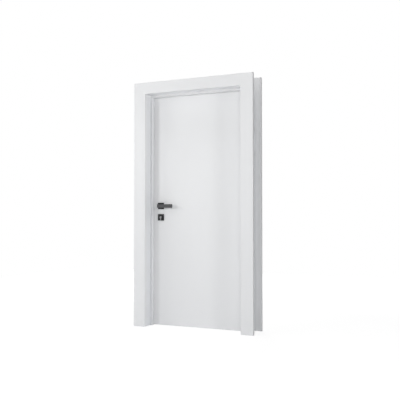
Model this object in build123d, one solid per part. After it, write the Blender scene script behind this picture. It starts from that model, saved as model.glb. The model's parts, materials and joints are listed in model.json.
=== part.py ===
# Interior doorset: a flush leaf hung in a deep lining with flat casings on both sides of the wall.
# X runs across the doorway, Y from the front casing to the rear one, Z up from the floor.
# The origin is on the wall side of the hinge lining, half way through the wall, at floor level.
import os

from build123d import *

# doorway in the wall
clear_width = 876.0
clear_height = 2011.0
wall_thickness = 181.0

# lining boards
lining_thickness = 30.0
trench_depth = 8.0

# casings
casing_width = 108.0
head_casing_width = 99.0
casing_thickness = 28.0
casing_edge_radius = 1.5
tongue_width = 6.0
tongue_length = 11.0
tongue_inset = 12.0
tongue_clearance = 0.2
relief_width = 26.0
relief_depth = 2.0

# planted stops and their seals
front_reveal = 96.0
stop_thickness = 18.0
stop_depth = 37.0
stop_edge_radius = 1.5
seal_inset = 11.5
seal_stem_width = 3.0
seal_stem_depth = 7.0
seal_bulb_width = 7.0
seal_foot = 0.5
seal_corner_gap = 8.0

# leaf
leaf_thickness = 44.0
skin_thickness = 4.0
hinge_gap = 5.0
lock_gap = 7.0
top_gap = 5.0
floor_gap = 4.0
seal_gap = 5.0
stile_width = 110.0
hinge_stile_width = 70.0
rail_height = 90.0
leaf_edge_radius = 1.2

# hinges
hinge_height = 100.0
hinge_plate_thickness = 2.5
hinge_plate_depth = 34.0
knuckle_radius = 6.5
knuckle_standoff = 1.0
knuckle_count = 5
knuckle_clearance = 0.4
hinge_pin_radius = 3.0
fixed_pin_clearance = 0.05
running_pin_clearance = 0.1
pin_head_radius = 5.0
pin_head_height = 2.5
pin_head_rounding = 1.5
lower_hinge_height = 280.0
upper_hinge_drop = 230.0
hinge_screw_margin = 14.0
hinge_screw_stagger = 5.0

# lock
handle_height = 1041.0
backset = 80.0
key_distance = 99.5
lock_case_depth = 105.0
lock_case_thickness = 15.0
lock_case_margin = 35.0
lock_case_wall = 1.5
lock_clearance = 0.3
forend_width = 20.0
forend_thickness = 3.0
forend_height = 238.0
forend_screw_margin = 11.0
latch_size = (12.0, 20.0)
latch_bevel = (8.0, 9.0)
latch_rise = 6.0
dead_bolt_size = (12.0, 30.0)
dead_bolt_rise = 38.0
bolt_length = 38.0
follower_hole_radius = 8.5
cylinder_radius = 8.5
cylinder_leg_width = 10.0
cylinder_height = 33.0
cylinder_projection = 3.0
keyway_size = (2.4, 9.0)
keyway_depth = 12.0
plug_ring_radius = 6.6
plug_ring_width = 0.5
plug_ring_depth = 0.6

# strike plate
strike_width = 24.0
strike_height = 170.0
strike_thickness = 2.0
strike_corner_radius = 4.0
strike_pocket_depth = 14.0
strike_screw_margin = 9.0

# countersunk screw holes in the plates
screw_hole_radius = 2.2
screw_head_radius = 4.0
screw_head_angle = 90.0

# lever handles and their plates
rose_side = 56.0
rose_thickness = 10.0
rose_chamfer = 1.0
spindle_side = 8.0
spindle_clearance = 0.1
spindle_reach = 30.0
spindle_passage_radius = 7.0
neck_radius = 9.0
neck_clearance = 0.5
neck_start = 1.0
lever_standoff = 58.0
lever_thickness = 10.0
lever_height = 31.0
lever_drop = 1.5
lever_tail = 11.0
lever_reach = 124.0
lever_return = 18.0
lever_bend_radius = 5.0
lever_edge_radius = 1.2

# planes worked out from the sizes above
hinge_face_x = -lining_thickness
lock_face_x = hinge_face_x - clear_width
lock_back_x = lock_face_x - lining_thickness
wall_front_y = -wall_thickness / 2
wall_rear_y = wall_thickness / 2
casing_face_y = wall_front_y - casing_thickness
total_height = clear_height + head_casing_width
leaf_hinge_x = hinge_face_x - hinge_gap
leaf_lock_x = lock_face_x + lock_gap
stop_front_y = casing_face_y + front_reveal
stop_rear_y = stop_front_y + stop_depth
leaf_front_y = stop_rear_y + seal_gap
leaf_rear_y = leaf_front_y + leaf_thickness
leaf_mid_y = leaf_front_y + leaf_thickness / 2
leaf_bottom_z = floor_gap
leaf_top_z = clear_height - top_gap
spindle_x = leaf_lock_x + backset
key_z = handle_height - key_distance
latch_z = handle_height + latch_rise
dead_bolt_z = key_z + dead_bolt_rise
lock_mid_z = handle_height - key_distance / 2
pin_x = hinge_face_x - knuckle_standoff - knuckle_radius
pin_y = leaf_rear_y + knuckle_standoff + knuckle_radius
hinge_levels = {
    "lower": leaf_bottom_z + lower_hinge_height,
    "middle": (leaf_bottom_z + lower_hinge_height + leaf_top_z - upper_hinge_drop) / 2,
    "upper": leaf_top_z - upper_hinge_drop,
}


# A block between low and high values on each axis.
def block(x_range, y_range, z_range):
    ranges = (x_range, y_range, z_range)
    sizes = [high - low for low, high in ranges]
    centre = [(high + low) / 2 for low, high in ranges]
    return Pos(*centre) * Box(*sizes)


def around(middle, size):
    return (middle - size / 2, middle + size / 2)


# A mirror image in the middle plane of the leaf.
def other_face(shape):
    centred = Pos(0, -leaf_mid_y, 0) * shape
    return Pos(0, leaf_mid_y, 0) * mirror(centred, about=Plane.XZ)


# A mirror image in the middle plane of the doorway.
def other_side(shape):
    middle = (hinge_face_x + lock_face_x) / 2
    return Pos(middle, 0, 0) * mirror(Pos(-middle, 0, 0) * shape, about=Plane.YZ)


# Edges of a board that lie on the plane y and run along the axis given.
def face_edges(shape, y, axis):
    on_face = shape.edges().filter_by_position(Axis.Y, y - 0.01, y + 0.01)
    return on_face.filter_by(axis)


# Grooves in the hidden face of a casing let it sit flat on the wall.
def casing_board(x_range, z_range, outer_y, wall_y, along):
    board = block(x_range, sorted((outer_y, wall_y)), z_range)
    board = fillet(face_edges(board, outer_y, along), casing_edge_radius)
    inward = relief_depth if outer_y > wall_y else -relief_depth
    relief_y = sorted((wall_y, wall_y + inward))
    if along == Axis.Z:
        outer_edge = x_range[1] if x_range[1] > hinge_face_x + lining_thickness else x_range[0]
        sign = -1 if outer_edge == x_range[1] else 1
        start = outer_edge + sign * relief_width / 2
        cut = block(sorted((start, start + sign * relief_width)), relief_y, z_range)
    else:
        start = z_range[1] - relief_width / 2
        cut = block(x_range, relief_y, (start - relief_width, start))
    return board - cut


def tongue(along, wall_y, inward):
    reach = sorted((wall_y, wall_y + inward * tongue_length))
    inset = tongue_inset + tongue_width / 2
    size = tongue_width - 2 * tongue_clearance
    if along == Axis.Z:
        return block(around(hinge_face_x + inset, size), reach, (0, clear_height))
    return block((lock_face_x, hinge_face_x), reach, around(clear_height + inset, size))


def casing_leg(outer_y, wall_y, inward):
    x_range = (hinge_face_x, hinge_face_x + casing_width)
    board = casing_board(x_range, (0, total_height), outer_y, wall_y, Axis.Z)
    return board + tongue(Axis.Z, wall_y, inward)


def casing_head(outer_y, wall_y, inward):
    board = casing_board((lock_face_x, hinge_face_x), (clear_height, total_height), outer_y, wall_y, Axis.X)
    return board + tongue(Axis.X, wall_y, inward)


def casings():
    front = (casing_face_y, wall_front_y, 1)
    rear = (wall_rear_y + casing_thickness, wall_rear_y, -1)
    pieces = {}
    for name, place in (("front", front), ("rear", rear)):
        leg = casing_leg(*place)
        pieces[f"{name}_casing_hinge"] = leg
        pieces[f"{name}_casing_lock"] = other_side(leg)
        pieces[f"{name}_casing_head"] = casing_head(*place)
    return pieces


# Grooves for the casing tongues, in the front and rear edges of a lining board.
def tongue_grooves(along, end):
    depth = tongue_length + tongue_clearance
    low = tongue_inset
    high = tongue_inset + tongue_width
    grooves = []
    for edge_y, inward in ((wall_front_y, 1), (wall_rear_y, -1)):
        y_range = sorted((edge_y, edge_y + inward * depth))
        if along == Axis.Z:
            x_range = (hinge_face_x + low, hinge_face_x + high)
            grooves.append(block(x_range, y_range, (0, end)))
        else:
            z_range = (clear_height + low, clear_height + high)
            grooves.append(block((lock_face_x, hinge_face_x), y_range, z_range))
    return grooves


def lining_leg():
    top = clear_height + trench_depth
    board = block((hinge_face_x, 0), (wall_front_y, wall_rear_y), (0, top))
    for groove in tongue_grooves(Axis.Z, top):
        board -= groove
    return board


# The flat of a hinge's lining plate lies in a mortise and reaches back as far as the knuckles.
def lining_flat_ranges():
    x_range = (hinge_face_x, hinge_face_x + hinge_plate_thickness)
    return x_range, (leaf_rear_y - hinge_plate_depth, pin_y + knuckle_radius)


# Cuts countersunk holes into a plate, whose outer face lies at x and looks along the way given.
def with_screw_holes(plate, x, way, thickness, places):
    for y, z in places:
        plane = Plane((x, y, z), x_dir=(0, 1, 0), z_dir=(way, 0, 0))
        plate -= plane * CounterSinkHole(screw_hole_radius, screw_head_radius, thickness, screw_head_angle)
    return plate


def strike_blank():
    middle = (lock_face_x - strike_thickness, leaf_mid_y, lock_mid_z)
    plane = Plane(middle, x_dir=(0, 1, 0), z_dir=(1, 0, 0))
    outline = RectangleRounded(strike_width, strike_height, strike_corner_radius)
    return extrude(plane * outline, strike_thickness)


def hinge_lining():
    board = lining_leg()
    for level in hinge_levels.values():
        board -= block(*lining_flat_ranges(), around(level, hinge_height))
    return board


def lock_lining():
    board = other_side(lining_leg()) - strike_blank()
    x_pocket = (lock_face_x - strike_pocket_depth, lock_face_x)
    for level, size in ((latch_z, latch_size), (dead_bolt_z, dead_bolt_size)):
        y_pocket = around(leaf_mid_y, size[0] + 2)
        board -= block(x_pocket, y_pocket, around(level, size[1] + 2))
    return board


# The head is trenched over the tops of the two legs.
def head_lining():
    x_range = (lock_back_x, 0)
    y_range = (wall_front_y, wall_rear_y)
    board = block(x_range, y_range, (clear_height, clear_height + lining_thickness))
    trench_z = (clear_height, clear_height + trench_depth)
    board -= block((hinge_face_x, 0), y_range, trench_z)
    board -= block((lock_back_x, lock_face_x), y_range, trench_z)
    for groove in tongue_grooves(Axis.X, 0):
        board -= groove
    return board


def stop_leg():
    top = clear_height - stop_thickness
    x_range = (hinge_face_x - stop_thickness, hinge_face_x)
    board = block(x_range, (stop_front_y, stop_rear_y), (0, top))
    inner = board.edges().filter_by(Axis.Z).group_by(Axis.X)[0]
    board = fillet(inner, stop_edge_radius)
    groove_x = around(hinge_face_x - seal_inset, seal_stem_width)
    return board - block(groove_x, (stop_rear_y - seal_stem_depth, stop_rear_y), (0, top))


def stop_head():
    z_range = (clear_height - stop_thickness, clear_height)
    board = block((lock_face_x, hinge_face_x), (stop_front_y, stop_rear_y), z_range)
    lower = board.edges().filter_by(Axis.X).group_by(Axis.Z)[0]
    board = fillet(lower, stop_edge_radius)
    x_range = (lock_face_x + seal_corner_gap, hinge_face_x - seal_corner_gap)
    groove_z = around(clear_height - seal_inset, seal_stem_width)
    return board - block(x_range, (stop_rear_y - seal_stem_depth, stop_rear_y), groove_z)


# Section of a seal: a stem pushed into the groove and a round bulb towards the leaf.
def seal_section():
    stem = Pos(0, -seal_stem_depth / 2) * Rectangle(seal_stem_width, seal_stem_depth)
    foot = Pos(0, seal_foot / 2) * Rectangle(seal_bulb_width, seal_foot)
    disc = Pos(0, seal_foot) * Circle(seal_bulb_width / 2)
    below = Pos(0, -seal_bulb_width / 2) * Rectangle(seal_bulb_width, seal_bulb_width)
    return stem + foot + (disc - below)


def seals():
    section = seal_section()
    leg_plane = Plane((hinge_face_x - seal_inset, stop_rear_y, 0), x_dir=(1, 0, 0), z_dir=(0, 0, 1))
    leg = extrude(leg_plane * section, clear_height - stop_thickness)
    start_x = lock_face_x + seal_corner_gap
    head_origin = (start_x, stop_rear_y, clear_height - seal_inset)
    head_plane = Plane(head_origin, x_dir=(0, 0, -1), z_dir=(1, 0, 0))
    head = extrude(head_plane * section, clear_width - 2 * seal_corner_gap)
    return {"seal_hinge": leg, "seal_lock": other_side(leg), "seal_head": head}


# Section of the key cylinder, grown all round by a clearance, at the key centre.
def cylinder_section(grow):
    radius = cylinder_radius + grow
    leg = cylinder_leg_width / 2 + grow
    bottom = cylinder_radius - cylinder_height + cylinder_leg_width / 2
    shape = Circle(radius) + Pos(0, bottom / 2) * Rectangle(2 * leg, -bottom)
    return shape + Pos(0, bottom) * Circle(leg)


def cylinder_prism(grow, front_y, rear_y):
    plane = Plane((spindle_x, rear_y, key_z), x_dir=(1, 0, 0), z_dir=(0, -1, 0))
    return extrude(plane * cylinder_section(grow), rear_y - front_y)


def round_bar(radius, x, z, front_y, rear_y):
    plane = Plane((x, rear_y, z), x_dir=(1, 0, 0), z_dir=(0, -1, 0))
    return extrude(plane * Circle(radius), rear_y - front_y)


# The passages that the handle and the cylinder need through the leaf.
def lock_passages():
    spindle = round_bar(spindle_passage_radius, spindle_x, handle_height, leaf_front_y, leaf_rear_y)
    return spindle + cylinder_prism(lock_clearance, leaf_front_y, leaf_rear_y)


def skin(y_range, outer_y):
    board = block((leaf_lock_x, leaf_hinge_x), y_range, (leaf_bottom_z, leaf_top_z))
    rim = face_edges(board, outer_y, Axis.Z) + face_edges(board, outer_y, Axis.X)
    board = fillet(rim, leaf_edge_radius)
    return board - lock_passages()


def hinge_mortises(board):
    for level in hinge_levels.values():
        x_range = (leaf_hinge_x - hinge_plate_thickness, leaf_hinge_x)
        y_range = (leaf_rear_y - hinge_plate_depth, leaf_rear_y)
        board -= block(x_range, y_range, around(level, hinge_height))
    return board


def lock_case_ranges(grow):
    low_x = leaf_lock_x + forend_thickness
    x_range = (low_x, low_x + lock_case_depth + grow)
    y_range = around(leaf_mid_y, lock_case_thickness + 2 * grow)
    z_range = (key_z - lock_case_margin - grow, handle_height + lock_case_margin + grow)
    return x_range, y_range, z_range


def forend_blank():
    plane = Plane((leaf_lock_x, leaf_mid_y, lock_mid_z), x_dir=(0, 0, 1), z_dir=(1, 0, 0))
    return extrude(plane * SlotOverall(forend_height, forend_width), forend_thickness)


def lock_stile(y_range):
    x_range = (leaf_lock_x, leaf_lock_x + stile_width)
    board = block(x_range, y_range, (leaf_bottom_z, leaf_top_z)) - forend_blank()
    return board - block(*lock_case_ranges(lock_clearance)) - lock_passages()


def leaf_boards():
    inner_y = (leaf_front_y + skin_thickness, leaf_rear_y - skin_thickness)
    whole_z = (leaf_bottom_z, leaf_top_z)
    low_x = leaf_lock_x + stile_width
    high_x = leaf_hinge_x - hinge_stile_width
    rail_x = (low_x, high_x)
    low_z = leaf_bottom_z + rail_height
    high_z = leaf_top_z - rail_height
    return {
        "leaf_front_skin": skin((leaf_front_y, inner_y[0]), leaf_front_y),
        "leaf_rear_skin": hinge_mortises(skin((inner_y[1], leaf_rear_y), leaf_rear_y)),
        "leaf_lock_stile": lock_stile(inner_y),
        "leaf_hinge_stile": hinge_mortises(block((high_x, leaf_hinge_x), inner_y, whole_z)),
        "leaf_bottom_rail": block(rail_x, inner_y, (leaf_bottom_z, low_z)),
        "leaf_top_rail": block(rail_x, inner_y, (high_z, leaf_top_z)),
        "leaf_core": block(rail_x, inner_y, (low_z, high_z)),
    }


# Knuckles alternate between the two plates: even ones belong to the lining, odd ones to the leaf.
# A web joins each to its plate, along the leaf's edge or across from the lining.
def hinge_plate(level, on_lining):
    if on_lining:
        flat_ranges = lining_flat_ranges()
        far_y = pin_y + knuckle_radius
        web_ranges = ((pin_x, flat_ranges[0][1]), (far_y - hinge_plate_thickness, far_y))
    else:
        leaf_x = (leaf_hinge_x - hinge_plate_thickness, leaf_hinge_x)
        flat_ranges = (leaf_x, (leaf_rear_y - hinge_plate_depth, leaf_rear_y))
        web_ranges = (leaf_x, (leaf_rear_y, pin_y))
    plate = block(*flat_ranges, around(level, hinge_height))
    pitch = hinge_height / knuckle_count
    for index in range(0 if on_lining else 1, knuckle_count, 2):
        low = level - hinge_height / 2 + index * pitch + knuckle_clearance / 2
        span = (low, low + pitch - knuckle_clearance)
        plate += block(*web_ranges, span)
        plate += Pos(pin_x, pin_y, sum(span) / 2) * Cylinder(knuckle_radius, pitch - knuckle_clearance)
    middle_y = leaf_rear_y - hinge_plate_depth / 2
    rise = hinge_height / 2 - hinge_screw_margin
    places = [(middle_y - hinge_screw_stagger, level)]
    places += [(middle_y + hinge_screw_stagger, level + way * rise) for way in (-1, 1)]
    if on_lining:
        plate = with_screw_holes(plate, hinge_face_x, -1, hinge_plate_thickness, places)
    else:
        plate = with_screw_holes(plate, leaf_hinge_x, 1, hinge_plate_thickness, places)
    bore_clearance = fixed_pin_clearance if on_lining else running_pin_clearance
    bore = Cylinder(hinge_pin_radius + bore_clearance, hinge_height)
    return plate - Pos(pin_x, pin_y, level) * bore


def hinge_pin(level):
    pin = Pos(pin_x, pin_y, level) * Cylinder(hinge_pin_radius, hinge_height)
    offset = hinge_height / 2 + pin_head_height / 2
    head = Cylinder(pin_head_radius, pin_head_height)
    head = fillet(head.edges().group_by(Axis.Z)[-1], pin_head_rounding)
    pin += Pos(pin_x, pin_y, level + offset) * head
    return pin + Pos(pin_x, pin_y, level - offset) * mirror(head, about=Plane.XY)


def hinges():
    pieces = {}
    for name, level in hinge_levels.items():
        pieces[f"{name}_hinge_lining_plate"] = hinge_plate(level, True)
        pieces[f"{name}_hinge_leaf_plate"] = hinge_plate(level, False)
        pieces[f"{name}_hinge_pin"] = hinge_pin(level)
    return pieces


def lock_case():
    x_range, y_range, z_range = lock_case_ranges(0)
    case = block(x_range, y_range, z_range)
    inner_x = (x_range[0], x_range[1] - lock_case_wall)
    inner_y = (y_range[0] + lock_case_wall, y_range[1] - lock_case_wall)
    inner_z = (z_range[0] + lock_case_wall, z_range[1] - lock_case_wall)
    case -= block(inner_x, inner_y, inner_z)
    case -= round_bar(follower_hole_radius, spindle_x, handle_height, *y_range)
    return case - cylinder_prism(lock_clearance, *y_range)


def bolt(size, level):
    x_range = (leaf_lock_x, leaf_lock_x + bolt_length)
    return block(x_range, around(leaf_mid_y, size[0]), around(level, size[1]))


# The latch is bevelled on the side that meets the strike plate when the leaf closes.
def latch_bolt():
    side_y = leaf_mid_y - latch_size[0] / 2
    corners = (
        (leaf_lock_x, side_y),
        (leaf_lock_x + latch_bevel[0], side_y),
        (leaf_lock_x, side_y + latch_bevel[1]),
    )
    wedge = Pos(0, 0, latch_z - latch_size[1] / 2) * make_face(Polyline(*corners, close=True))
    return bolt(latch_size, latch_z) - extrude(wedge, latch_size[1])


# Cuts the two holes that the bolts pass through.
def with_bolt_holes(plate):
    x_range = (lock_face_x - strike_thickness, leaf_lock_x + forend_thickness)
    for level, size in ((latch_z, latch_size), (dead_bolt_z, dead_bolt_size)):
        y_hole = around(leaf_mid_y, size[0] + 2 * lock_clearance)
        plate -= block(x_range, y_hole, around(level, size[1] + 2 * lock_clearance))
    return plate


# The forend has a screw near each end and the cylinder's own screw at key height.
def lock_forend():
    rise = forend_height / 2 - forend_screw_margin
    levels = (lock_mid_z - rise, key_z, lock_mid_z + rise)
    places = [(leaf_mid_y, level) for level in levels]
    return with_screw_holes(with_bolt_holes(forend_blank()), leaf_lock_x, -1, forend_thickness, places)


def strike_plate():
    rise = strike_height / 2 - strike_screw_margin
    places = [(leaf_mid_y, lock_mid_z + way * rise) for way in (-1, 1)]
    return with_screw_holes(with_bolt_holes(strike_blank()), lock_face_x, 1, strike_thickness, places)


def key_cylinder():
    reach = rose_thickness + cylinder_projection
    body = cylinder_prism(0, leaf_front_y - reach, leaf_rear_y + reach)
    for end_y, inward in ((leaf_front_y - reach, 1), (leaf_rear_y + reach, -1)):
        y_range = sorted((end_y, end_y + inward * keyway_depth))
        body -= block(around(spindle_x, keyway_size[0]), y_range, around(key_z, keyway_size[1]))
        ring_y = sorted((end_y, end_y + inward * plug_ring_depth))
        ring = round_bar(plug_ring_radius + plug_ring_width, spindle_x, key_z, *ring_y)
        body -= ring - round_bar(plug_ring_radius, spindle_x, key_z, *ring_y)
    return body


def lock_pieces():
    return {
        "lock_case": lock_case(),
        "lock_forend": lock_forend(),
        "latch_bolt": latch_bolt(),
        "dead_bolt": bolt(dead_bolt_size, dead_bolt_z),
        "key_cylinder": key_cylinder(),
        "strike_plate": strike_plate(),
    }


# A square plate on the front face of the leaf.
def square_plate(level):
    y_range = (leaf_front_y - rose_thickness, leaf_front_y)
    plate = block(around(spindle_x, rose_side), y_range, around(level, rose_side))
    rim = face_edges(plate, y_range[0], Axis.X) + face_edges(plate, y_range[0], Axis.Z)
    return chamfer(rim, rose_chamfer)


def rose():
    hole_radius = neck_radius + neck_clearance
    hole_y = (leaf_front_y - rose_thickness, leaf_front_y)
    return square_plate(handle_height) - round_bar(hole_radius, spindle_x, handle_height, *hole_y)


def escutcheon():
    return square_plate(key_z) - cylinder_prism(lock_clearance, leaf_front_y - rose_thickness, leaf_front_y)


# The bar lies parallel to the leaf, a little below the spindle, and its free end turns back towards it.
def front_lever():
    outer_y = leaf_front_y - lever_standoff
    inner_y = outer_y + lever_thickness
    tail_x = spindle_x - lever_tail
    tip_x = spindle_x + lever_reach
    outline = Polyline(
        (tail_x, outer_y),
        (tip_x, outer_y),
        (tip_x, inner_y + lever_return),
        (tip_x - lever_thickness, inner_y + lever_return),
        (tip_x - lever_thickness, inner_y),
        (tail_x, inner_y),
        close=True,
    )
    plan = make_face(outline)
    bend = plan.vertices().sort_by_distance((tip_x, outer_y))[0]
    plan = fillet(bend, lever_bend_radius)
    bottom_z = handle_height - lever_drop - lever_height / 2
    bar = extrude(Pos(0, 0, bottom_z) * plan, lever_height)
    bar = fillet(bar.edges().filter_by(Axis.X), lever_edge_radius)
    bar += round_bar(neck_radius, spindle_x, handle_height, inner_y, leaf_front_y - neck_start)
    hole = around(spindle_x, spindle_side + 2 * spindle_clearance)
    hole_z = around(handle_height, spindle_side + 2 * spindle_clearance)
    return bar - block(hole, (leaf_front_y - spindle_reach, leaf_front_y), hole_z)


def spindle():
    y_range = (leaf_front_y - spindle_reach, leaf_rear_y + spindle_reach)
    return block(around(spindle_x, spindle_side), y_range, around(handle_height, spindle_side))


def handle_pieces():
    pieces = {"spindle": spindle()}
    for name, shape in (("rose", rose()), ("escutcheon", escutcheon()), ("lever", front_lever())):
        pieces[f"front_{name}"] = shape
        pieces[f"rear_{name}"] = other_face(shape)
    return pieces


def door_pieces():
    pieces = {
        "lining_hinge": hinge_lining(),
        "lining_lock": lock_lining(),
        "lining_head": head_lining(),
        "stop_hinge": stop_leg(),
        "stop_lock": other_side(stop_leg()),
        "stop_head": stop_head(),
    }
    for group in (casings(), seals(), leaf_boards(), hinges(), lock_pieces(), handle_pieces()):
        pieces.update(group)
    return pieces


os.makedirs("parts", exist_ok=True)
for piece_name, piece in door_pieces().items():
    export_step(piece, f"parts/{piece_name}.step")
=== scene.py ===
import json
from math import atan2, cos, radians

import bmesh
import bpy
from mathutils import Matrix, Vector


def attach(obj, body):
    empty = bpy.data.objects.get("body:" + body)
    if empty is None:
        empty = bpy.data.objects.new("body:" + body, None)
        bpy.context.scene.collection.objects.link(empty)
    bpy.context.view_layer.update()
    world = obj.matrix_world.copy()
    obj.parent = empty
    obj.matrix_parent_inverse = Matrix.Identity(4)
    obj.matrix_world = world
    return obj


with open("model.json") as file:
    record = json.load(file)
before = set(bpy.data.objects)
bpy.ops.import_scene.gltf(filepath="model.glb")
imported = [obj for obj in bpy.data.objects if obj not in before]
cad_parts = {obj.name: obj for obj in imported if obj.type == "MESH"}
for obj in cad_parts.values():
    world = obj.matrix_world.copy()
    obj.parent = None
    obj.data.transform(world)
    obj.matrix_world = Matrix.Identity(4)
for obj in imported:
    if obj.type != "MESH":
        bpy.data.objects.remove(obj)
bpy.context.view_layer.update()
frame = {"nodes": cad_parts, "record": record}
nodes = frame["nodes"]
print("frame loaded:", len(nodes), "nodes")


# Places of a node's mesh along an axis: the lowest, the highest and the middle between them.
def lowest(node, axis):
    return min(vert.co["XYZ".index(axis)] for vert in nodes[node].data.vertices)


def highest(node, axis):
    return max(vert.co["XYZ".index(axis)] for vert in nodes[node].data.vertices)


def middle(node, axis):
    return (lowest(node, axis) + highest(node, axis)) / 2


# Small helpers for node trees.
def startMaterial(name):
    material = bpy.data.materials.new(name)
    material.use_nodes = True
    tree = material.node_tree
    return material, tree, tree.nodes["Principled BSDF"]


def addNode(tree, kind, settings=None, sockets=None):
    node = tree.nodes.new(kind)
    for key, value in (settings or {}).items():
        setattr(node, key, value)
    for key, value in (sockets or {}).items():
        node.inputs[key].default_value = value
    return node


# Noise on the piece's own coordinates, stretched along its grain.
def addNoise(tree, scale, stretch=(1, 1, 1), detail=4, roughness=0.55):
    place = addNode(tree, "ShaderNodeTexCoord")
    mapping = addNode(tree, "ShaderNodeMapping", sockets={"Scale": stretch})
    levels = {"Scale": scale, "Detail": detail, "Roughness": roughness}
    noise = addNode(tree, "ShaderNodeTexNoise", sockets=levels)
    tree.links.new(place.outputs["Object"], mapping.inputs["Vector"])
    tree.links.new(mapping.outputs["Vector"], noise.inputs["Vector"])
    return noise


def addRange(tree, source, low, high, fromLow=0.3, fromHigh=0.7):
    node = addNode(tree, "ShaderNodeMapRange")
    for key, value in (("From Min", fromLow), ("From Max", fromHigh), ("To Min", low), ("To Max", high)):
        node.inputs[key].default_value = value
    tree.links.new(source, node.inputs["Value"])
    return node.outputs["Result"]


# Sockets of the mix node by number, because its colour and value sockets share one name.
mixSockets = {"colours": (6, 7), "mixedColour": 2, "values": (2, 3), "mixedValue": 0}


def mixColours(tree, factor, first, second):
    mix = addNode(tree, "ShaderNodeMix", {"data_type": "RGBA"})
    tree.links.new(factor, mix.inputs["Factor"])
    for number, value in zip(mixSockets["colours"], (first, second)):
        if isinstance(value, tuple):
            mix.inputs[number].default_value = (*value, 1)
        else:
            tree.links.new(value, mix.inputs[number])
    return mix.outputs[mixSockets["mixedColour"]]


# A value that goes over from a linked one to a fixed one.
def mixValues(tree, factor, linked, fixed):
    mix = addNode(tree, "ShaderNodeMix", {"data_type": "FLOAT"})
    linkedNumber, fixedNumber = mixSockets["values"]
    tree.links.new(factor, mix.inputs["Factor"])
    tree.links.new(linked, mix.inputs[linkedNumber])
    mix.inputs[fixedNumber].default_value = fixed
    return mix.outputs[mixSockets["mixedValue"]]


# A look's tone and shade, mixed by a noise.
def twoTones(tree, noise, look):
    return mixColours(tree, addRange(tree, noise.outputs["Fac"], 0, 1), look["tone"], look["shade"])


def addBump(tree, shader, height, strength, distance):
    bump = addNode(tree, "ShaderNodeBump", sockets={"Strength": strength, "Distance": distance})
    tree.links.new(height, bump.inputs["Height"])
    tree.links.new(bump.outputs["Normal"], shader.inputs["Normal"])


def greater(tree, first, second):
    node = addNode(tree, "ShaderNodeMath", {"operation": "MAXIMUM"})
    tree.links.new(first, node.inputs[0])
    tree.links.new(second, node.inputs[1])
    return node.outputs["Value"]


# The tree's surface: the first shader, or the second one where the factor is 1.
def mixSurface(tree, outputName, factor, first, second):
    mix = addNode(tree, "ShaderNodeMixShader")
    tree.links.new(factor, mix.inputs["Fac"])
    tree.links.new(first, mix.inputs[1])
    tree.links.new(second, mix.inputs[2])
    tree.links.new(mix.outputs["Shader"], tree.nodes[outputName].inputs["Surface"])


# White satin lacquer: sprayed, with a fine orange peel, long soft waves and a faint change of tone.
lacquerLooks = {
    "casingLacquer": {
        "tone": (0.865, 0.867, 0.87),
        "shade": (0.842, 0.844, 0.848),
        "grain": (1, 1, 0.12),
        "sheen": (0.36, 0.46),
    },
    "headLacquer": {
        "tone": (0.865, 0.867, 0.87),
        "shade": (0.842, 0.844, 0.848),
        "grain": (0.12, 1, 1),
        "sheen": (0.36, 0.46),
    },
    # Painted shade: the stops are a little darker and cooler in tone than the casings, standing in for the
    # cool shade of the reveal.
    "stopLacquer": {
        "tone": (0.856, 0.861, 0.874),
        "shade": (0.834, 0.839, 0.852),
        "grain": (1, 1, 0.12),
        "sheen": (0.38, 0.48),
    },
    "leafLacquer": {
        "tone": (0.865, 0.867, 0.87),
        "shade": (0.846, 0.848, 0.852),
        "grain": (1, 1, 0.35),
        "sheen": (0.34, 0.44),
    },
    "edgeLacquer": {
        "tone": (0.855, 0.857, 0.86),
        "shade": (0.825, 0.827, 0.83),
        "grain": (1, 1, 0.06),
        "sheen": (0.4, 0.52),
    },
    # Painted shade: the linings are cooler in tone than the casings, standing in for the cool shade of the
    # reveal.
    "liningLacquer": {
        "tone": (0.868, 0.874, 0.886),
        "shade": (0.846, 0.852, 0.864),
        "grain": (1, 1, 0.12),
        "sheen": (0.38, 0.48),
    },
    # Painted light: the head lining is lighter in tone than the other linings, standing in for light
    # reaching its underside from below.
    "headLiningLitLacquer": {
        "tone": (0.93, 0.934, 0.942),
        "shade": (0.91, 0.914, 0.922),
        "grain": (0.12, 1, 1),
        "sheen": (0.38, 0.48),
    },
}
lacquerFine = {
    "tone": {"scale": 2.2, "detail": 3},
    "wave": {"scale": 6, "detail": 5},
    "peel": {"scale": 420, "stretch": (1, 1, 0.7), "detail": 2},
    "bump": {"strength": 0.25, "distance": 0.00005},
    "ior": 1.48,
}


def lacquer(name):
    look = lacquerLooks[name]
    material, tree, shader = startMaterial(name)
    tone = addNoise(tree, stretch=look["grain"], **lacquerFine["tone"])
    tree.links.new(twoTones(tree, tone, look), shader.inputs["Base Color"])
    wave = addNoise(tree, stretch=look["grain"], **lacquerFine["wave"])
    tree.links.new(addRange(tree, wave.outputs["Fac"], *look["sheen"]), shader.inputs["Roughness"])
    peel = addNoise(tree, **lacquerFine["peel"])
    addBump(tree, shader, peel.outputs["Fac"], **lacquerFine["bump"])
    shader.inputs["IOR"].default_value = lacquerFine["ior"]
    return material


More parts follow.
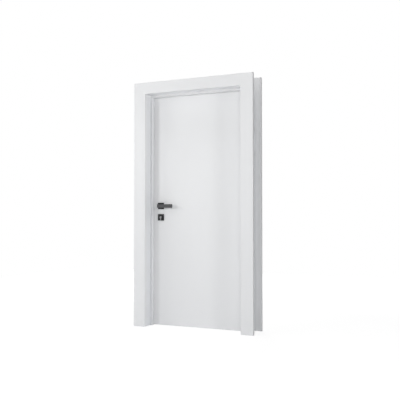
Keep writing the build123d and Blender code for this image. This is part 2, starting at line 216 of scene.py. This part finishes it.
# Finishes of one face of a node, past the plane where the face begins: a thin band below it blends them.
# The wall side of the linings is bare board: cool grey paper with fibres, where the lacquer's spray ends.
# The cut edges of casings, the head stop's face and the side stops' front faces are painted darker than the
# faces, as painted shade, and stay a little duller.
placeKinds = {
    "back": {
        "tone": (0.53, 0.555, 0.585),
        "shade": (0.42, 0.445, 0.475),
        "rough": 0.8,
        "noise": {"scale": 130, "stretch": (1, 1, 0.25), "detail": 6, "roughness": 0.7},
        "band": (0.0004, 0.0001),
    },
    # Painted shade: a darker tone on the casings' cut edges and on the head stop's face.
    "edge": {
        "tone": (0.775, 0.777, 0.78),
        "shade": (0.755, 0.757, 0.76),
        "rough": 0.55,
        "noise": {"scale": 9, "detail": 5},
        "band": (0.0006, 0.0002),
    },
    # Painted shade: a darker tone on the front faces of the side stops, in the corner of the reveal.
    "stop": {
        "tone": (0.745, 0.752, 0.77),
        "shade": (0.725, 0.732, 0.75),
        "rough": 0.55,
        "noise": {"scale": 9, "detail": 5},
        "band": (0.0006, 0.0002),
    },
}
# Where they are, by node: base finish, kind, axis and the way that the face looks along it.
placeLooks = {
    "lining_hinge": ("liningLacquer", "back", "X", 1),
    "lining_lock": ("liningLacquer", "back", "X", -1),
    "lining_head": ("headLiningLitLacquer", "back", "Z", 1),
    "front_casing_hinge": ("casingLacquer", "edge", "X", 1),
    "rear_casing_hinge": ("casingLacquer", "edge", "X", 1),
    "front_casing_lock": ("casingLacquer", "edge", "X", -1),
    "rear_casing_lock": ("casingLacquer", "edge", "X", -1),
    "front_casing_head": ("headLacquer", "edge", "Z", 1),
    "rear_casing_head": ("headLacquer", "edge", "Z", 1),
    "stop_hinge": ("stopLacquer", "stop", "Y", -1),
    "stop_lock": ("stopLacquer", "stop", "Y", -1),
    "stop_head": ("headLacquer", "edge", "Y", -1),
}


# A node's own copy of its base finish, with another colour and roughness on the face.
def changedByPlace(node):
    base, kind, axis, way = placeLooks[node]
    look = placeKinds[kind]
    plane = highest(node, axis) if way > 0 else lowest(node, axis)
    low, high = [plane - way * depth for depth in look["band"]]
    material = finishes[base].copy()
    material.name = base + "_" + node
    tree = material.node_tree
    shader = tree.nodes["Principled BSDF"]
    place = addNode(tree, "ShaderNodeTexCoord")
    parts = addNode(tree, "ShaderNodeSeparateXYZ")
    tree.links.new(place.outputs["Object"], parts.inputs["Vector"])
    past = addRange(tree, parts.outputs[axis], 0, 1, low, high)
    baseColour = shader.inputs["Base Color"].links[0].from_socket
    baseSheen = shader.inputs["Roughness"].links[0].from_socket
    noise = addNoise(tree, **look["noise"])
    colour = mixColours(tree, past, baseColour, twoTones(tree, noise, look))
    tree.links.new(colour, shader.inputs["Base Color"])
    tree.links.new(mixValues(tree, past, baseSheen, look["rough"]), shader.inputs["Roughness"])
    return material


# Matt soft rubber of the seals.
sealLook = {
    "tone": (0.42, 0.425, 0.435),
    "shade": (0.36, 0.365, 0.375),
    "dust": {"scale": 14, "stretch": (1, 1, 0.2), "detail": 6},
    "sheen": (0.62, 0.78),
    "grain": {"scale": 900, "detail": 2},
    "bump": {"strength": 0.3, "distance": 0.00008},
}


def sealRubber():
    material, tree, shader = startMaterial("sealRubber")
    dust = addNoise(tree, **sealLook["dust"])
    tree.links.new(twoTones(tree, dust, sealLook), shader.inputs["Base Color"])
    tree.links.new(addRange(tree, dust.outputs["Fac"], *sealLook["sheen"]), shader.inputs["Roughness"])
    grain = addNoise(tree, **sealLook["grain"])
    addBump(tree, shader, grain.outputs["Fac"], **sealLook["bump"])
    return material


# Metals: fine brush lines along one direction, uneven gloss and a little handling wear.
metalLooks = {
    "hingeSteel": {
        "tone": (0.63, 0.63, 0.64),
        "worn": (0.52, 0.52, 0.53),
        "brush": (90, 90, 3),
        "gloss": (0.24, 0.4),
    },
    "pinSteel": {
        "tone": (0.6, 0.6, 0.61),
        "worn": (0.47, 0.47, 0.48),
        "brush": (8, 8, 90),
        "gloss": (0.2, 0.36),
    },
    "lockSteel": {
        "tone": (0.6, 0.6, 0.61),
        "worn": (0.5, 0.5, 0.51),
        "brush": (90, 90, 3),
        "gloss": (0.36, 0.5),
    },
    "spindleSteel": {
        "tone": (0.5, 0.5, 0.5),
        "worn": (0.36, 0.36, 0.37),
        "brush": (60, 3, 60),
        "gloss": (0.3, 0.5),
    },
    "cylinderNickel": {
        "tone": (0.24, 0.24, 0.245),
        "worn": (0.17, 0.17, 0.175),
        "brush": (90, 20, 12),
        "gloss": (0.34, 0.46),
    },
    "screwSteel": {
        "tone": (0.66, 0.66, 0.67),
        "worn": (0.46, 0.46, 0.48),
        "brush": (30, 30, 30),
        "gloss": (0.2, 0.36),
    },
}
metalFine = {
    "wear": {"scale": 35, "detail": 6},
    "wearFrom": (0.45, 0.72),
    "brush": {"scale": 20, "detail": 4},
    "bump": {"strength": 0.2, "distance": 0.00005},
}


def metal(name):
    look = metalLooks[name]
    material, tree, shader = startMaterial(name)
    wear = addNoise(tree, **metalFine["wear"])
    worn = addRange(tree, wear.outputs["Fac"], 0, 1, *metalFine["wearFrom"])
    colour = mixColours(tree, worn, look["tone"], look["worn"])
    tree.links.new(colour, shader.inputs["Base Color"])
    brush = addNoise(tree, stretch=look["brush"], **metalFine["brush"])
    tree.links.new(addRange(tree, brush.outputs["Fac"], *look["gloss"]), shader.inputs["Roughness"])
    addBump(tree, shader, brush.outputs["Fac"], **metalFine["bump"])
    shader.inputs["Metallic"].default_value = 1
    return material


# Powder coats of the handle set: a fine dimpled skin over dark pigment.
coatLooks = {
    "plateBlack": {
        "tone": (0.016, 0.016, 0.018),
        "shade": (0.011, 0.011, 0.012),
        "gloss": (0.42, 0.52),
        "specular": 0.18,
    },
    "leverGraphite": {
        "tone": (0.068, 0.068, 0.071),
        "shade": (0.055, 0.055, 0.057),
        "gloss": (0.34, 0.44),
        "specular": 0.3,
    },
}
coatFine = {
    "cloud": {"scale": 60, "detail": 5},
    "dimple": {"scale": 1100, "detail": 2},
    "bump": {"strength": 0.35, "distance": 0.00006},
}


def powderCoat(name):
    look = coatLooks[name]
    material, tree, shader = startMaterial(name)
    cloud = addNoise(tree, **coatFine["cloud"])
    tree.links.new(twoTones(tree, cloud, look), shader.inputs["Base Color"])
    tree.links.new(addRange(tree, cloud.outputs["Fac"], *look["gloss"]), shader.inputs["Roughness"])
    dimple = addNoise(tree, **coatFine["dimple"])
    addBump(tree, shader, dimple.outputs["Fac"], **coatFine["bump"])
    shader.inputs["Specular IOR Level"].default_value = look["specular"]
    return material


# Raw particle board of the core: flat chips of several tones.
coreLook = {
    "light": (0.66, 0.5, 0.32),
    "dark": (0.4, 0.27, 0.15),
    "chips": {"Scale": 260, "Randomness": 1},
    "spreadFrom": (0.1, 0.9),
    "bump": {"strength": 0.4, "distance": 0.0004},
    "rough": 0.85,
}


def coreBoard():
    material, tree, shader = startMaterial("coreBoard")
    place = addNode(tree, "ShaderNodeTexCoord")
    chips = addNode(tree, "ShaderNodeTexVoronoi", sockets=coreLook["chips"])
    tree.links.new(place.outputs["Object"], chips.inputs["Vector"])
    spread = addRange(tree, chips.outputs["Color"], 0, 1, *coreLook["spreadFrom"])
    colour = mixColours(tree, spread, coreLook["light"], coreLook["dark"])
    tree.links.new(colour, shader.inputs["Base Color"])
    addBump(tree, shader, chips.outputs["Distance"], **coreLook["bump"])
    shader.inputs["Roughness"].default_value = coreLook["rough"]
    return material


# A new piece from a bmesh: linked, finished and named.
def addPiece(name, mesh, material, body):
    data = bpy.data.meshes.new(name)
    mesh.to_mesh(data)
    mesh.free()
    piece = bpy.data.objects.new(name, data)
    bpy.context.scene.collection.objects.link(piece)
    data.materials.append(material)
    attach(piece, body)


finishes = {name: lacquer(name) for name in lacquerLooks}
finishes.update({name: metal(name) for name in metalLooks})
finishes.update({name: powderCoat(name) for name in coatLooks})
finishes["sealRubber"] = sealRubber()
finishes["coreBoard"] = coreBoard()
print("finishes made:", len(finishes))

slotFinishes = {
    "casing_white": "casingLacquer",
    "lining_white": "liningLacquer",
    "stop_white": "stopLacquer",
    "seal_rubber": "sealRubber",
    "hinge_steel": "hingeSteel",
    "pin_steel": "pinSteel",
    "leaf_white": "leafLacquer",
    "edge_white": "edgeLacquer",
    "core_board": "coreBoard",
    "lock_steel": "lockSteel",
    "plate_black": "plateBlack",
    "lever_graphite": "leverGraphite",
    "spindle_steel": "spindleSteel",
    "cylinder_nickel": "cylinderNickel",
}
for part in frame["record"]["subparts"]:
    name = part["node"]
    finish = finishes[slotFinishes[part["material_slot"]]]
    if name in placeLooks:
        finish = changedByPlace(name)
    nodes[name].data.materials.clear()
    nodes[name].data.materials.append(finish)
print("CAD nodes finished")


# Countersunk screws with a six lobed recess, in the hinge plates, the forend and the strike plate.
screwLook = {
    "headRadius": 0.0038,
    "shankRadius": 0.0021,
    "coneDepth": 0.0017,
    "stubDepth": 0.001,
    "recessRadius": 0.0019,
    "lobes": 6,
    "lobeIn": 0.72,
    "recessDepth": 0.0011,
    "rim": 0.00012,
    "sides": 48,
    "sunk": 0.0001,
}
# Grub screws with a hexagon socket, under the levers' necks.
grubLook = {
    "headRadius": 0.0023,
    "shankRadius": 0.0023,
    "coneDepth": 0.0006,
    "stubDepth": 0.0008,
    "recessRadius": 0.0014,
    "lobes": 6,
    "lobeIn": 0.866,
    "recessDepth": 0.0009,
    "rim": 0.0001,
    "sides": 36,
    "sunk": -0.00005,
}
# Each screw is turned on from the one before, so that their recesses don't line up.
screwTurn = {"first": 0.35, "step": 1.1}


# One screw at the origin, its head looking along +Z.
def screwBlank(look):
    mesh = bmesh.new()
    bmesh.ops.create_circle(mesh, cap_ends=True, radius=look["headRadius"], segments=look["sides"])
    ring = look["headRadius"] - look["recessRadius"]
    bmesh.ops.inset_individual(mesh, faces=mesh.faces[:], thickness=ring)
    rim = [edge for edge in mesh.edges if edge.is_boundary]
    crown = min(mesh.faces, key=lambda face: max(vert.co.length for vert in face.verts))
    for vert in crown.verts:
        lobe = 0.5 - 0.5 * cos(look["lobes"] * atan2(vert.co.y, vert.co.x))
        share = 1 - lobe * (1 - look["lobeIn"])
        bmesh.ops.scale(mesh, vec=(share, share, 1), verts=[vert])
    pit = bmesh.ops.extrude_discrete_faces(mesh, faces=[crown])["faces"][0]
    bmesh.ops.translate(mesh, vec=(0, 0, -look["recessDepth"]), verts=pit.verts)
    edges = rim
    narrow = look["shankRadius"] / look["headRadius"]
    for drop, share in ((look["coneDepth"], narrow), (look["stubDepth"], 1)):
        wall = bmesh.ops.extrude_edge_only(mesh, edges=edges)["geom"]
        low = [item for item in wall if isinstance(item, bmesh.types.BMVert)]
        bmesh.ops.translate(mesh, vec=(0, 0, -drop), verts=low)
        bmesh.ops.scale(mesh, vec=(share, share, 1), verts=low)
        edges = [item for item in wall if isinstance(item, bmesh.types.BMEdge) and item.is_boundary]
    bmesh.ops.edgeloop_fill(mesh, edges=edges)
    bmesh.ops.bevel(
        mesh,
        geom=rim,
        offset=look["rim"],
        segments=2,
        affect="EDGES",
        profile=0.5,
        material=-1,
    )
    bmesh.ops.recalc_face_normals(mesh, faces=mesh.faces)
    data = bpy.data.meshes.new("screwBlank")
    mesh.to_mesh(data)
    mesh.free()
    return data


# Screws at the places given, in one piece, their heads looking along the way given.
def addScrews(name, look, places, way, body, finishName):
    blank = screwBlank(look)
    facing = Vector(way).to_track_quat("Z", "Y").to_matrix().to_4x4()
    mesh = bmesh.new()
    for count, place in enumerate(places):
        known = len(mesh.verts)
        mesh.from_mesh(blank)
        mesh.verts.ensure_lookup_table()
        seat = Matrix.Translation(Vector(place) - look["sunk"] * Vector(way))
        spin = Matrix.Rotation(screwTurn["first"] + screwTurn["step"] * count, 4, "Z")
        bmesh.ops.transform(mesh, matrix=seat @ facing @ spin, verts=mesh.verts[known:])
    bpy.data.meshes.remove(blank)
    addPiece(name, mesh, finishes[finishName], body)


# Where the screws sit, in metres: steps from the middle of what they hold, drops from the lever's axis.
leafMiddle = middle("leaf_lock_stile", "Y")
leverLevel = middle("spindle", "Z")

hingeFixings = {"levels": ("lower", "middle", "upper"), "steps": ((0, 0), (0.01, -0.036), (0.01, 0.036))}
hingeSides = (
    ("lining", lowest("lining_hinge", "X"), (-1, 0, 0), "frame"),
    ("leaf", highest("leaf_hinge_stile", "X"), (1, 0, 0), "leaf"),
)
for levelName in hingeFixings["levels"]:
    level = middle(f"{levelName}_hinge_leaf_plate", "Z")
    for side, faceX, way, body in hingeSides:
        spots = [(faceX, leafMiddle + back, level + rise) for back, rise in hingeFixings["steps"]]
        addScrews(f"{levelName}_{side}_screws", screwLook, spots, way, body, "screwSteel")

lockFixings = {"forendStep": 0.108, "strikeStep": 0.076, "keyDrop": 0.0995}
lockLevel = middle("lock_forend", "Z")
forendLevels = (
    lockLevel - lockFixings["forendStep"],
    leverLevel - lockFixings["keyDrop"],
    lockLevel + lockFixings["forendStep"],
)
spots = [(lowest("lock_forend", "X"), leafMiddle, level) for level in forendLevels]
addScrews("forend_screws", screwLook, spots, (-1, 0, 0), "leaf", "screwSteel")
strikeLevels = (lockLevel - lockFixings["strikeStep"], lockLevel + lockFixings["strikeStep"])
spots = [(highest("lining_lock", "X"), leafMiddle, level) for level in strikeLevels]
addScrews("strike_screws", screwLook, spots, (1, 0, 0), "frame", "screwSteel")

grubFixings = {"drop": 0.009, "step": 0.042}
for side, way in (("front", -1), ("rear", 1)):
    spot = (middle("spindle", "X"), leafMiddle + way * grubFixings["step"], leverLevel - grubFixings["drop"])
    addScrews(f"{side}_grub_screw", grubLook, [spot], (0, 0, -1), "handle", "spindleSteel")
print("screws made")

# Floor: pale, and nearly white to the camera apart from the door's shadow, the more so further off.
floorLook = {
    "side": 10,
    "rough": 0.9,
    "tone": (0.685, 0.7, 0.725),
    "shadowTone": (0.15, 0.15, 0.15),
    "whiteNear": 0.9,
    "whiteFar": 0.99,
    "near": 1.4,
    "far": 3.6,
}


def addFloor():
    material, tree, shader = startMaterial("floorPale")
    shader.inputs["Base Color"].default_value = (*floorLook["tone"], 1)
    shader.inputs["Roughness"].default_value = floorLook["rough"]
    place = addNode(tree, "ShaderNodeTexCoord")
    length = addNode(tree, "ShaderNodeVectorMath", {"operation": "LENGTH"})
    tree.links.new(place.outputs["Object"], length.inputs["Vector"])
    white = addRange(
        tree,
        length.outputs["Value"],
        floorLook["whiteNear"],
        floorLook["whiteFar"],
        floorLook["near"],
        floorLook["far"],
    )
    glow = addNode(tree, "ShaderNodeEmission")
    tree.links.new(white, glow.inputs["Strength"])
    veil = addNode(tree, "ShaderNodeBsdfDiffuse", sockets={"Color": (*floorLook["shadowTone"], 1)})
    bright = addNode(tree, "ShaderNodeAddShader")
    tree.links.new(glow.outputs["Emission"], bright.inputs[0])
    tree.links.new(veil.outputs["BSDF"], bright.inputs[1])
    rays = addNode(tree, "ShaderNodeLightPath").outputs
    seen = greater(tree, rays["Is Camera Ray"], rays["Is Glossy Ray"])
    mixSurface(tree, "Material Output", seen, shader.outputs["BSDF"], bright.outputs["Shader"])
    mesh = bmesh.new()
    bmesh.ops.create_grid(mesh, x_segments=1, y_segments=1, size=floorLook["side"] / 2)
    data = bpy.data.meshes.new("floor")
    mesh.to_mesh(data)
    mesh.free()
    floor = bpy.data.objects.new("floor", data)
    bpy.context.scene.collection.objects.link(floor)
    data.materials.append(material)


addFloor()

# Soft light: a dim cool surround, three lamps on each side, one overhead and one behind.
surroundLook = {"strength": 0.05, "tone": (0.95, 0.975, 1)}
doorMiddle = (-0.47, 0, 1.1)
lampLooks = {
    "leftLamp": {"place": (-2.97, -4.33, 1.9), "size": 0.9, "power": 36.6},
    "leftHighLamp": {"place": (-2.47, -3.46, 4.6), "size": 1.6, "power": 18.3},
    "farLeftLamp": {"place": (-4.8, -2.5, 2.2), "size": 3, "power": 71},
    "rightLamp": {"place": (1.9, -5.08, 1.2), "size": 1.6, "power": 64.5},
    "rightHighLamp": {"place": (2.744, -3.83, 3.2), "size": 1.6, "power": 15.5},
    "farRightLamp": {"place": (4.062, -2.113, 1.8), "size": 0.9, "power": 43.5},
    "topLamp": {"place": (-0.47, 0, 5), "size": 3, "power": 72},
    "backLamp": {"place": (-3, 4.5, 2.2), "size": 2, "power": 160},
}


def addSurround():
    world = bpy.data.worlds.new("surround")
    bpy.context.scene.world = world
    world.use_nodes = True
    tree = world.node_tree
    ambient = tree.nodes["Background"]
    ambient.inputs["Color"].default_value = (*surroundLook["tone"], 1)
    ambient.inputs["Strength"].default_value = surroundLook["strength"]
    white = addNode(tree, "ShaderNodeBackground", sockets={"Color": (1, 1, 1, 1), "Strength": 1})
    rays = addNode(tree, "ShaderNodeLightPath").outputs
    seen = greater(tree, rays["Is Camera Ray"], rays["Is Glossy Ray"])
    bright = greater(tree, seen, rays["Is Transmission Ray"])
    mixSurface(tree, "World Output", bright, ambient.outputs["Background"], white.outputs["Background"])


def addLamp(name):
    look = lampLooks[name]
    data = bpy.data.lights.new(name, "AREA")
    data.shape = "DISK"
    data.size = look["size"]
    data.energy = look["power"]
    lamp = bpy.data.objects.new(name, data)
    lamp.location = look["place"]
    aim = Vector(doorMiddle) - lamp.location
    lamp.rotation_euler = aim.to_track_quat("-Z", "Y").to_euler()
    bpy.context.scene.collection.objects.link(lamp)


addSurround()
for lampName in lampLooks:
    addLamp(lampName)
print("floor and light set")

# Camera: stands to the right of the door at waist height, turned back towards it.
cameraLook = {"place": (1.6984, -4.8085, 0.9434), "turn": 23.952, "tilt": 1.58, "lens": 55.71, "sensor": 36}


def addCamera():
    data = bpy.data.cameras.new("camera")
    data.lens = cameraLook["lens"]
    data.sensor_width = cameraLook["sensor"]
    camera = bpy.data.objects.new("camera", data)
    camera.location = cameraLook["place"]
    camera.rotation_euler = (radians(90 + cameraLook["tilt"]), 0, radians(cameraLook["turn"]))
    bpy.context.scene.collection.objects.link(camera)
    bpy.context.scene.camera = camera


addCamera()
bpy.context.scene.view_settings.view_transform = "Standard"
